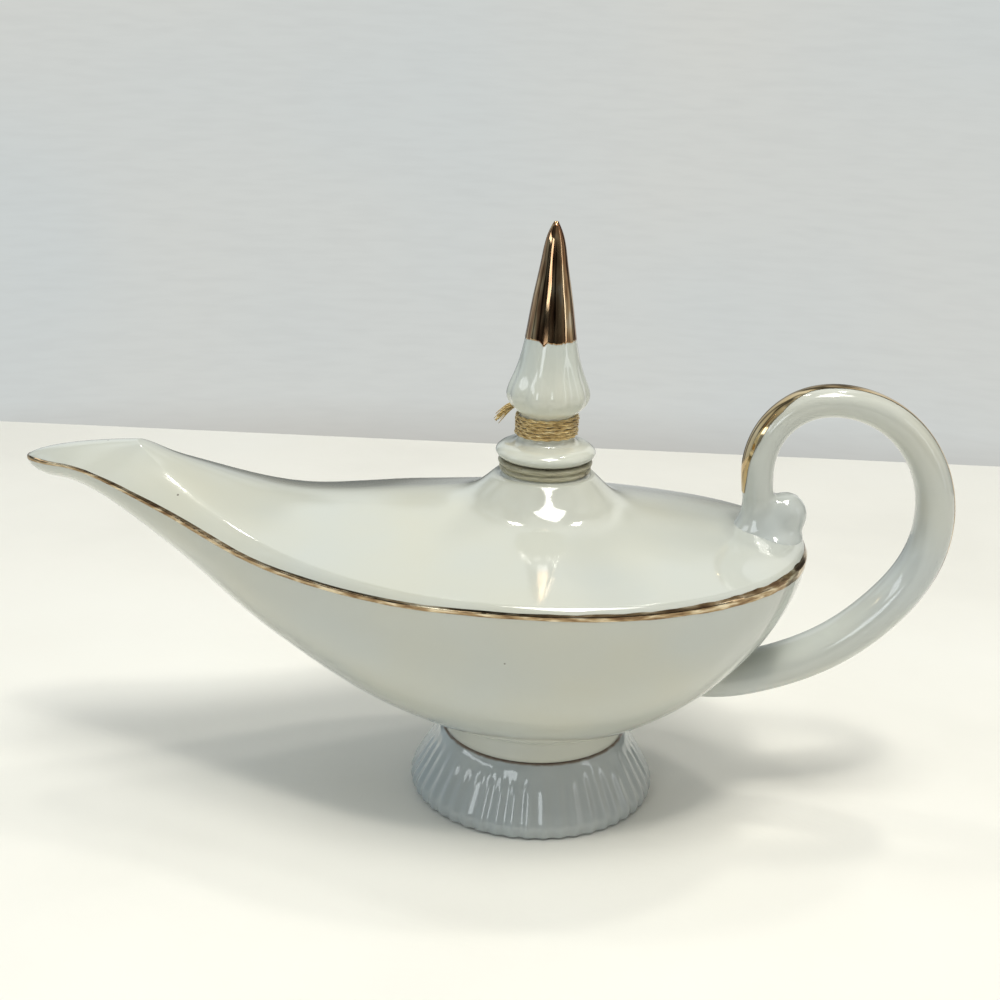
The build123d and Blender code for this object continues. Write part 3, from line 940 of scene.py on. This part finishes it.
def make_porcelain(name, warm, cool, joint_line_and_shade=None):
    """Thick, slightly uneven glaze: slow drifts of tone, pinholes, specks and a lively gloss.

    The joint line and shade is (height, spread, colour): a brown band where two forms meet, partly a brown
    line in the joint and partly painted shade in the gap between them.
    """
    material, tree, shader, place = new_material(name)
    cloud = cloudy(tree, place, scale=27.0, detail=2.5)
    colour = graded(tree, cloud, 0.35, 0.65, ((0, cool), (1, warm)))
    cells = node(tree, "ShaderNodeTexVoronoi", Scale=170.0)
    join(tree, place, (cells, "Vector"))
    near = ranged(tree, (cells, "Distance"), 0.030, 0.055, 1.0, 0.0)
    lot = tree.nodes.new("ShaderNodeSeparateColor")
    join(tree, (cells, "Color"), (lot, "Color"))
    speck = worked(tree, "MULTIPLY", near, worked(tree, "GREATER_THAN", (lot, "Red"), 0.90))
    colour = blend(tree, speck, colour, (0.13, 0.12, 0.09))
    # Painted shade and a brown line: a ragged dark band at the joint's height.
    if joint_line_and_shade:
        height, spread, brown = joint_line_and_shade
        parts = tree.nodes.new("ShaderNodeSeparateXYZ")
        join(tree, place, (parts, "Vector"))
        ragged = cloudy(tree, place, scale=420.0, detail=2.0)
        level = worked(tree, "ADD", (parts, "Z"), ranged(tree, ragged, 0.0, 1.0, -spread, spread))
        far = worked(tree, "ABSOLUTE", worked(tree, "SUBTRACT", level, height))
        colour = blend(tree, ranged(tree, far, 0.0, spread * 1.6, 0.85, 0.0), colour, brown)
    join(tree, colour, (shader, "Base Color"))
    waves = relief(tree, cloudy(tree, place, scale=60.0, detail=2.0), strength=0.45, distance=0.0004)
    pits = relief(tree, speck, strength=0.5, distance=0.0001, invert=True)
    join(tree, waves, (pits[0], "Normal"))
    join(tree, pits, (shader, "Normal"))
    join(tree, ranged(tree, cloud, 0.0, 1.0, 0.05, 0.12), (shader, "Roughness"))
    shader.inputs["IOR"].default_value = 1.52
    shader.inputs["Coat Weight"].default_value = 0.5
    shader.inputs["Coat Roughness"].default_value = 0.04
    return material


def make_gold(name, stretch, streak_scale, tones):
    """Bright gold lustre over brown: brushed streaks, thin places and a mirror-like skin."""
    material, tree, shader, place = new_material(name)
    drawn = stretched(tree, place, stretch)
    streak = cloudy(tree, drawn, scale=streak_scale, detail=2.0, Roughness=0.5)
    join(tree, graded(tree, streak, 0.3, 0.7, tones), (shader, "Base Color"))
    worn = cloudy(tree, place, scale=260.0, detail=3.0)
    join(tree, ranged(tree, worn, 0.35, 0.75, 0.04, 0.16), (shader, "Roughness"))
    join(tree, relief(tree, streak, strength=0.5, distance=0.00012), (shader, "Normal"))
    shader.inputs["Metallic"].default_value = 1.0
    return material


def make_seal_plastic():
    """Aged translucent push-in plastic, olive in level rings, with patches of grime."""
    material, tree, shader, place = new_material("seal_plastic")
    rings = cloudy(tree, stretched(tree, place, (0.12, 0.12, 1.0)), scale=2600.0, detail=2.0)
    olive = ((0, (0.36, 0.335, 0.23)), (0.5, (0.51, 0.48, 0.34)), (1, (0.62, 0.59, 0.44)))
    tone = graded(tree, rings, 0.3, 0.7, olive)
    dirt = ranged(tree, cloudy(tree, place, scale=330.0, detail=3.0), 0.60, 0.72)
    join(tree, blend(tree, dirt, tone, (0.12, 0.09, 0.05)), (shader, "Base Color"))
    join(tree, relief(tree, rings, strength=0.4, distance=0.00015), (shader, "Normal"))
    shader.inputs["Roughness"].default_value = 0.38
    shader.inputs["Subsurface Weight"].default_value = 0.15
    shader.inputs["Subsurface Radius"].default_value = (0.0015, 0.0013, 0.0009)
    return material


def make_twine_fibre():
    """Waxed jute: fibres from dark brown to pale straw, the palest a painted highlight, with darker patches.
    """
    material, tree, shader, place = new_material("twine_fibre")
    drawn = stretched(tree, place, (0.10, 0.10, 1.0))
    fibres = cloudy(tree, drawn, scale=5200.0, detail=3.0, Roughness=0.65)
    # The palest straw stands in for painted highlights on the fibres.
    straw_and_highlights = (
        (0, (0.20, 0.11, 0.03)),
        (0.35, (0.54, 0.36, 0.12)),
        (0.7, (0.86, 0.65, 0.29)),
        (1, (0.97, 0.88, 0.58)),
    )
    tone = graded(tree, fibres, 0.28, 0.72, straw_and_highlights)
    patch = cloudy(tree, place, scale=240.0, detail=1.0)
    shade = ranged(tree, patch, 0.35, 0.7, 0.0, 0.35)
    join(tree, blend(tree, shade, tone, (0.22, 0.13, 0.045)), (shader, "Base Color"))
    join(tree, relief(tree, fibres, strength=0.7, distance=0.00008), (shader, "Normal"))
    shader.inputs["Roughness"].default_value = 0.42
    shader.inputs["Sheen Weight"].default_value = 0.25
    return material


def finish(piece, material, body, slot, *nodes):
    """Give a piece its material and its body, and hide the nodes that it stands for; the slot is not used.
    """
    piece.data.materials.append(material)
    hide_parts(*nodes)
    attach(piece, body)
    return piece


glaze_warm, glaze_cool = (0.60, 0.60, 0.51), (0.57, 0.595, 0.555)
# At the foot: the brown line of the joint and painted shade in the gap between body and pedestal.
foot_joint_line_and_shade = (pedestal_height, 0.22 * mm, (0.17, 0.09, 0.045))
# Painted shade where the stopper's flange sits on the seal.
seal_contact_shade = (77.35 * mm, 0.35 * mm, (0.20, 0.13, 0.07))
body_glaze = make_porcelain("body_glaze", glaze_warm, glaze_cool, foot_joint_line_and_shade)
# Painted light and shade: the handle's glaze is the body's porcelain a little lighter, its cool tone bluer
# as the handle looks in shade.
handle_glaze_painted_light_and_shade = make_porcelain("handle_glaze_painted_light_and_shade", (0.61, 0.615, 0.54), (0.57, 0.605, 0.59))
# Painted shade: the pedestal's glaze is the body's porcelain made darker and bluer, for the dim light it
# stands in.
pedestal_glaze_painted_shade = make_porcelain("pedestal_glaze_painted_shade", (0.49, 0.52, 0.51), (0.43, 0.49, 0.51), foot_joint_line_and_shade)
# Painted light: the stopper's glaze is the body's porcelain made lighter, its cool tone bluer.
stopper_glaze_painted_light = make_porcelain("stopper_glaze_painted_light", (0.72, 0.705, 0.585), (0.56, 0.63, 0.63), seal_contact_shade)
finial_lustre = make_gold(
    "finial_lustre", (1.0, 1.0, 0.12), 480.0,
    ((0, (0.16, 0.07, 0.04)), (0.4, (0.40, 0.23, 0.12)), (0.8, (0.72, 0.53, 0.31)), (1, (0.90, 0.78, 0.58))),
)
rim_lustre = make_gold(
    "rim_lustre", (0.2, 0.2, 1.0), 1300.0,
    ((0, (0.17, 0.10, 0.055)), (0.5, (0.38, 0.27, 0.15)), (1, (0.78, 0.67, 0.48))),
)
stripe_lustre = make_gold(
    "stripe_lustre", (0.4, 0.4, 0.4), 300.0,
    ((0, (0.52, 0.35, 0.16)), (0.5, (0.66, 0.48, 0.25)), (1, (0.80, 0.64, 0.40))),
)

finish(make_body(), body_glaze, "lamp", "porcelain", "bowl", "deck")
finish(make_rim_gold(), rim_lustre, "lamp", "gilding", "rim_gilding")
finish(make_handle(), handle_glaze_painted_light_and_shade, "lamp", "porcelain", "handle")
finish(make_handle_gold(), stripe_lustre, "lamp", "gilding", "handle_gilding")
finish(make_pedestal(), pedestal_glaze_painted_shade, "lamp", "porcelain", "pedestal")
finish(make_seal(), make_seal_plastic(), "seal", "seal_plastic", "stopper_seal")
finish(make_stopper(), stopper_glaze_painted_light, "stopper", "porcelain", "stopper")
finish(make_finial_gold(), finial_lustre, "stopper", "gilding", "finial_gilding")
twine_line = line_through(twine_route())
twine = finish(make_twine(twine_line), make_twine_fibre(), "stopper", "twine", "twine_winding", "twine_tail")
twine_route()[0]


# ---- stage, light and camera ----

def make_table_paper():
    """Pale matt paper on the table, with faint creases and grey smudges."""
    material, tree, shader, place = new_material("table_paper")
    smudge = cloudy(tree, place, scale=9.0, detail=5.0)
    greys = ((0, (0.84, 0.825, 0.77)), (0.5, (0.89, 0.875, 0.82)), (1, (0.91, 0.90, 0.85)))
    join(tree, graded(tree, smudge, 0.3, 0.7, greys), (shader, "Base Color"))
    crease = cloudy(tree, place, scale=26.0, detail=4.0, Distortion=0.6)
    join(tree, relief(tree, crease, strength=0.35, distance=0.002), (shader, "Normal"))
    shader.inputs["Roughness"].default_value = 0.55
    return material


def make_stage():
    """A table that ends at the wall, which is the world as the camera sees it."""
    bm = bmesh.new()
    middle = Matrix.Translation((0, table_edge - table_half, -table_drop))
    bmesh.ops.create_grid(bm, x_segments=1, y_segments=1, size=table_half, matrix=middle)
    table = piece_from("table", bm, smooth=False)
    table.data.materials.append(make_table_paper())


def add_lamp(name, place, target, width, height, power, colour):
    """A rectangular lamp that faces its target."""
    light = bpy.data.lights.new(name, "AREA")
    light.shape = "RECTANGLE"
    light.size = width
    light.size_y = height
    light.energy = power
    light.color = colour
    lamp = bpy.data.objects.new(name, light)
    lamp.location = place
    lamp.rotation_euler = (Vector(target) - Vector(place)).to_track_quat("-Z", "Y").to_euler()
    bpy.context.scene.collection.objects.link(lamp)


def wall_colour(tree, place, parts):
    """Painted wall: slow drifts, level grain and painted shade in a darker band at its foot."""
    drift = cloudy(tree, place, scale=3.0, detail=2.0)
    paint = graded(tree, drift, 0.3, 0.7, ((0, (0.60, 0.635, 0.63)), (1, (0.65, 0.65, 0.61))))
    grain = cloudy(tree, stretched(tree, place, (0.15, 0.15, 1.0)), scale=260.0, detail=3.0)
    colour = blend(tree, ranged(tree, grain, 0.4, 0.8, 0.0, 0.14), paint, (0.45, 0.46, 0.45))
    # Painted shade where the wall meets the table.
    wall_foot_shade = ranged(tree, (parts, "Z"), -0.285, -0.255, 0.5, 0.0)
    return blend(tree, wall_foot_shade, colour, (0.44, 0.42, 0.38))


def make_room():
    """A room, dim in front and lighter behind and overhead. The camera sees its painted wall instead."""
    world = bpy.data.worlds.new("room")
    world.use_nodes = True
    tree = world.node_tree
    background = tree.nodes["Background"]
    place = (tree.nodes.new("ShaderNodeTexCoord"), "Generated")
    parts = tree.nodes.new("ShaderNodeSeparateXYZ")
    join(tree, place, (parts, "Vector"))
    behind = ranged(tree, (parts, "Y"), -0.7, 0.7, 0.045, 0.46)
    above = ranged(tree, (parts, "Z"), 0.15, 0.95, 0.0, 0.26)
    patches = cloudy(tree, stretched(tree, place, (1.0, 1.0, 0.25)), scale=3.4, detail=1.0)
    uneven = ranged(tree, patches, 0.40, 0.60, 0.20, 1.60)
    side = graded(tree, (parts, "X"), -1.0, 1.0, ((0, (0.80, 0.92, 1.0)), (1, (1.0, 0.97, 0.90))))
    join(tree, side, (background, "Color"))
    strength = worked(tree, "MULTIPLY", worked(tree, "ADD", behind, above), uneven)
    join(tree, strength, (background, "Strength"))
    wall_seen = tree.nodes.new("ShaderNodeBackground")
    join(tree, wall_colour(tree, place, parts), (wall_seen, "Color"))
    rays = tree.nodes.new("ShaderNodeLightPath")
    seen = tree.nodes.new("ShaderNodeMixShader")
    join(tree, (rays, "Is Camera Ray"), (seen, 0))
    join(tree, (background, "Background"), (seen, 1))
    join(tree, (wall_seen, "Background"), (seen, 2))
    join(tree, (seen, "Shader"), (tree.nodes["World Output"], "Surface"))
    bpy.context.scene.world = world


def make_camera():
    """The camera, from its pitch, yaw and roll."""
    level = Vector((cos(camera_yaw), -sin(camera_yaw), 0))
    ahead = cos(camera_pitch)
    forward = Vector((sin(camera_yaw) * ahead, cos(camera_yaw) * ahead, -sin(camera_pitch)))
    upright = level.cross(forward)
    right = level * cos(camera_roll) + upright * sin(camera_roll)
    up = upright * cos(camera_roll) - level * sin(camera_roll)
    data = bpy.data.cameras.new("camera")
    data.lens = camera_lens
    data.sensor_width = camera_sensor
    data.clip_start = camera_clip
    camera = bpy.data.objects.new("camera", data)
    turned = Matrix((right, up, -forward)).transposed().to_4x4()
    camera.matrix_world = Matrix.Translation(camera_place) @ turned
    bpy.context.scene.collection.objects.link(camera)
    bpy.context.scene.camera = camera


make_stage()
make_room()
for lamp in lamps:
    add_lamp(*lamp)
make_camera()
bpy.context.scene.view_settings.view_transform = "Standard"
